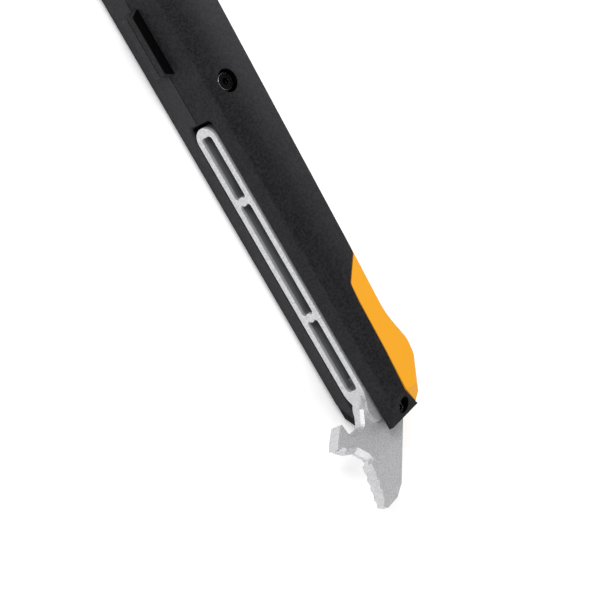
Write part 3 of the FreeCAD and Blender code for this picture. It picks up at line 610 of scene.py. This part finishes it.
def soften(node: str, width: float, segments: int = 2, angle: float = 28.0,
           shape: Callable[[bmesh.types.BMesh], None] | None = None) -> bpy.types.Object:
    """Copy a frame node, clean its facets and round its edges, then stand it in for the node.

    Args:
        node: name of the frame node.
        width: width of the rounding, in metres.
        segments: faces across the rounding.
        angle: sharpest fold, in degrees, that stays unrounded.
        shape: changes the clean mesh before it is rounded.

    Returns:
        The new piece, riding on the node's body.
    """
    source = frame["nodes"][node]
    mesh = source.data.copy()
    while len(mesh.materials) < 2:
        mesh.materials.append(None)
    form = bmesh.new()
    form.from_mesh(mesh)
    bmesh.ops.remove_doubles(form, verts=form.verts, dist=WELD)
    bmesh.ops.dissolve_limit(form, angle_limit=math.radians(FLAT_FOLD), verts=form.verts, edges=form.edges)
    bmesh.ops.dissolve_degenerate(form, dist=WELD, edges=form.edges)
    if shape:
        shape(form)
    form.to_mesh(mesh)
    form.free()
    piece = bpy.data.objects.new(node + "_skin", mesh)
    bpy.context.scene.collection.objects.link(piece)
    bevel = piece.modifiers.new("rounding", "BEVEL")
    bevel.width = width
    bevel.segments = segments
    bevel.limit_method = "ANGLE"
    bevel.angle_limit = math.radians(angle)
    bevel.miter_outer = "MITER_ARC"
    bevel.material = 1
    apply_modifiers(piece)
    shade_by_angle(piece, SMOOTH_FOLD)
    even = piece.modifiers.new("even", "WEIGHTED_NORMAL")
    even.keep_sharp = True
    apply_modifiers(piece)
    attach(piece, source["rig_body"])
    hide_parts(node)
    return piece


def apply_modifiers(piece: bpy.types.Object) -> None:
    """Bake a piece's modifiers into its mesh.

    Args:
        piece: the mesh piece.
    """
    graph = bpy.context.evaluated_depsgraph_get()
    shaped = bpy.data.meshes.new_from_object(piece.evaluated_get(graph))
    piece.modifiers.clear()
    old = piece.data
    piece.data = shaped
    bpy.data.meshes.remove(old)


def shade_by_angle(piece: bpy.types.Object, angle: float) -> None:
    """Shade a piece smooth, with folds over an angle kept sharp.

    Args:
        piece: the mesh piece.
        angle: the limit in degrees.
    """
    piece.data.shade_smooth()
    piece.data.set_sharp_from_angle(angle=math.radians(angle))


@dataclass
class Handle:
    """The two shells and what closes them."""

    shell_round: float = 0.17 * MM
    screw_round: float = 0.14 * MM
    part_gap: float = 0.18 * MM
    spine_band: float = 3.6 * MM
    touch: float = 0.05 * MM

    def build(self) -> None:
        """Round and dress the shells, screws and inserts."""
        for node in ("near_shell", "far_shell"):
            shell = soften(node, self.shell_round, shape=self._open_part_line)
            dress(shell, Finish.BLACK_SHELL, Finish.SHELL_EDGE)
        for node in ("upper_screw", "nose_screw", "tail_screw"):
            dress(soften(node, self.screw_round), Finish.DARK_SCREW)
        for node in ("upper_insert", "nose_insert", "tail_insert"):
            dress(frame["nodes"][node], Finish.BRASS)
        LOG.info("handle built")

    def _open_part_line(self, form: bmesh.types.BMesh) -> None:
        """Draw the rim of the parting face back, so that a fine line shows between the shells.

        Args:
            form: a shell's clean mesh.
        """
        parting = parting_z()
        middle = sum(vert.co.z for vert in form.verts) / len(form.verts)
        step = math.copysign(self.part_gap, middle - parting)
        for vert in form.verts:
            if abs(vert.co.z - parting) < FLUSH and self._on_rim(vert.co):
                vert.co.z += step

    def _on_rim(self, spot: Vector) -> bool:
        """Tell whether a point of the parting face lies on the handle's outline.

        Args:
            spot: the point.

        Returns:
            True on the ridge, the pad, the nose or the spine.
        """
        low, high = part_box("near_shell")
        hatch_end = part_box("hatch")[1].x
        on_front = spot.y > ridge_y() - self.touch
        on_nose = spot.x > high.x - self.touch
        on_spine = spot.x > hatch_end and spot.y < low.y + self.spine_band
        return on_front or on_nose or on_spine


@dataclass
class TailTool:
    """The cast arm with its hook and pry plate.

    The throat and the notch are rectangles: low and high X from the pry tip, then low and high Y.
    """

    edge_round: float = 0.28 * MM
    plate_half: float = 2.2 * MM
    throat_bevel: float = 0.9 * MM
    notch_bevel: float = 1.5 * MM
    throat: tuple[float, ...] = (23.8 * MM, 29.4 * MM, 12.6 * MM, 21.6 * MM)
    notch: tuple[float, ...] = (13.2 * MM, 23.2 * MM, 19.0 * MM, 29.0 * MM)
    fold: float = 1.0

    def build(self) -> None:
        """Bevel, round and dress the casting."""
        dress(soften("tail_tool", self.edge_round, 3, shape=self._bevel_plate), Finish.CAST)
        LOG.info("tail tool built")

    def _bevel_plate(self, form: bmesh.types.BMesh) -> None:
        """Bevel the plate's rim round the hook's throat and in the notch beside the teeth.

        Args:
            form: the casting's clean mesh.
        """
        for limits, width in ((self.throat, self.throat_bevel), (self.notch, self.notch_bevel)):
            bmesh.ops.bevel(form, geom=self._rim_edges(form, limits), offset=width,
                            offset_type="OFFSET", segments=1, affect="EDGES", profile=0.5)

    def _rim_edges(self, form: bmesh.types.BMesh, limits: tuple[float, ...]) -> list[bmesh.types.BMEdge]:
        """Find the edges of the plate's two faces on its outline inside a rectangle.

        Args:
            form: the casting's mesh.
            limits: low and high X from the pry tip, low and high Y.

        Returns:
            The edges.
        """
        tip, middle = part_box("tail_tool")[0].x, parting_z()
        chosen = []
        for edge in form.edges:
            spot = (edge.verts[0].co + edge.verts[1].co) / 2
            flat = all(abs(abs(vert.co.z - middle) - self.plate_half) < FLUSH for vert in edge.verts)
            inside = limits[0] < spot.x - tip < limits[1] and limits[2] < spot.y < limits[3]
            folded = len(edge.link_faces) == 2 and edge.calc_face_angle(0.0) > self.fold
            if flat and inside and folded:
                chosen.append(edge)
        return chosen


@dataclass
class Magazine:
    """The amber hatch, its hinge and the spare blades under it."""

    hatch_round: float = 0.5 * MM

    def build(self) -> None:
        """Round and dress the hatch, and dress its pin, spring and blades."""
        dress(soften("hatch", self.hatch_round, 3), Finish.AMBER)
        dress(frame["nodes"]["hatch_pin"], Finish.PIN)
        dress(frame["nodes"]["hatch_spring"], Finish.PIN)
        dress(frame["nodes"]["spare_blades"], Finish.BLADE)
        LOG.info("magazine built")


@dataclass
class BladeSlide:
    """The blade, its channel, carrier and screw lock."""

    wheel_round: float = 0.3 * MM
    plate_round: float = 0.25 * MM

    def build(self) -> None:
        """Round and dress the moving cutter parts."""
        dress(frame["nodes"]["blade"], Finish.BLADE)
        dress(frame["nodes"]["blade_channel"], Finish.SHEET_STEEL)
        for node in ("blade_carrier", "slider_plate"):
            dress(soften(node, self.plate_round), Finish.SLIDER)
        dress(soften("lock_wheel", self.wheel_round), Finish.GRIP)
        for node in ("blade_peg", "lock_stud", "friction_washer"):
            dress(frame["nodes"][node], Finish.PIN)
        dress(frame["nodes"]["clamp_nut"], Finish.BRASS)
        LOG.info("blade slide built")


# ------------------------------------------------------------------ studio


@dataclass
class Studio:
    """Pale floor, soft lights and a long lens."""

    right: Vector = field(default_factory=lambda: Vector((-0.4988, -0.6127, 0.613)))
    back: Vector = field(default_factory=lambda: Vector((0.107, 0.6585, 0.745)))
    view_width: float = 176.5 * MM
    distance: float = 1.6
    tail_right: float = 22.5 * MM
    tail_down: float = 39.4 * MM
    tail_setback: float = 0.4 * MM
    sensor: float = 36.0
    floor_reach: float = 3.0
    floor_level: float = -0.2 * MM
    sky: float = 0.50

    def build(self) -> None:
        """Place the camera, floor, lights and world."""
        self._camera()
        self._floor()
        self._lights()
        bpy.context.scene.view_settings.view_transform = "Standard"
        LOG.info("studio built")

    def _axes(self) -> tuple[Vector, Vector, Vector]:
        """Make the camera's axes square to each other.

        Returns:
            Right, up and back.
        """
        back = self.back.normalized()
        right = (self.right - back * self.right.dot(back)).normalized()
        return right, back.cross(right), back

    def _camera(self) -> None:
        """Make the camera, framing the tail half of the knife."""
        right, up, back = self._axes()
        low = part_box("near_shell")[0]
        ridge = Vector((low.x + self.tail_setback, ridge_y(), low.z))
        centre = ridge - right * self.tail_right + up * self.tail_down
        data = bpy.data.cameras.new("studio_camera")
        data.sensor_width = self.sensor
        data.lens = self.sensor * self.distance / self.view_width
        data.clip_end = 10.0
        camera = bpy.data.objects.new("studio_camera", data)
        turn = Matrix((right, up, back)).transposed().to_4x4()
        camera.matrix_world = Matrix.Translation(centre + back * self.distance) @ turn
        bpy.context.scene.collection.objects.link(camera)
        bpy.context.scene.camera = camera

    def _floor(self) -> None:
        """Make a pale floor under the rest face."""
        mesh = bpy.data.meshes.new("floor")
        reach = self.floor_reach
        sides = ((-reach, -reach), (reach, -reach), (reach, reach), (-reach, reach))
        corners = [(*side, self.floor_level) for side in sides]
        mesh.from_pydata(corners, [], [(0, 1, 2, 3)])
        floor = bpy.data.objects.new("floor", mesh)
        bpy.context.scene.collection.objects.link(floor)
        paper = Sheet("floor_paper").finish((0.96, 0.96, 0.96), 0.8, Emission_Color=(1.0, 1.0, 1.0, 1.0),
                                            Emission_Strength=0.22)
        mesh.materials.append(paper)

    def _lights(self) -> None:
        """Make the soft boxes and the even sky."""
        # name, place, size in metres and power in watts
        boxes = [
            ("key", Vector((0.55, 0.45, 0.70)) * 1.2, 0.60, 9.6),
            ("fill", Vector((-0.80, 0.35, 0.50)) * 1.2, 0.60, 5.5),
            ("sheen", Vector((0.35, -0.80, 0.50)) * 0.45, 0.16, 0.45),
        ]
        for name, offset, size, power in boxes:
            data = bpy.data.lights.new(name, "AREA")
            data.shape = "SQUARE"
            data.size = size
            data.energy = power
            light = bpy.data.objects.new(name, data)
            light.location = offset
            light.rotation_mode = "QUATERNION"
            light.rotation_quaternion = offset.normalized().to_track_quat("Z", "Y")
            light.visible_camera = False
            bpy.context.scene.collection.objects.link(light)
        world = bpy.data.worlds.new("studio")
        world.use_nodes = True
        sky = world.node_tree.nodes["Background"]
        sky.inputs["Color"].default_value = (1.0, 1.0, 1.0, 1.0)
        sky.inputs["Strength"].default_value = self.sky
        bpy.context.scene.world = world


def main() -> None:
    """Build the knife around the frame, then the studio."""
    logging.basicConfig(level=logging.INFO)
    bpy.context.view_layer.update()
    for assembly in (Handle(), TailTool(), Magazine(), BladeSlide(), Studio()):
        assembly.build()


if __name__ == "__main__":
    main()
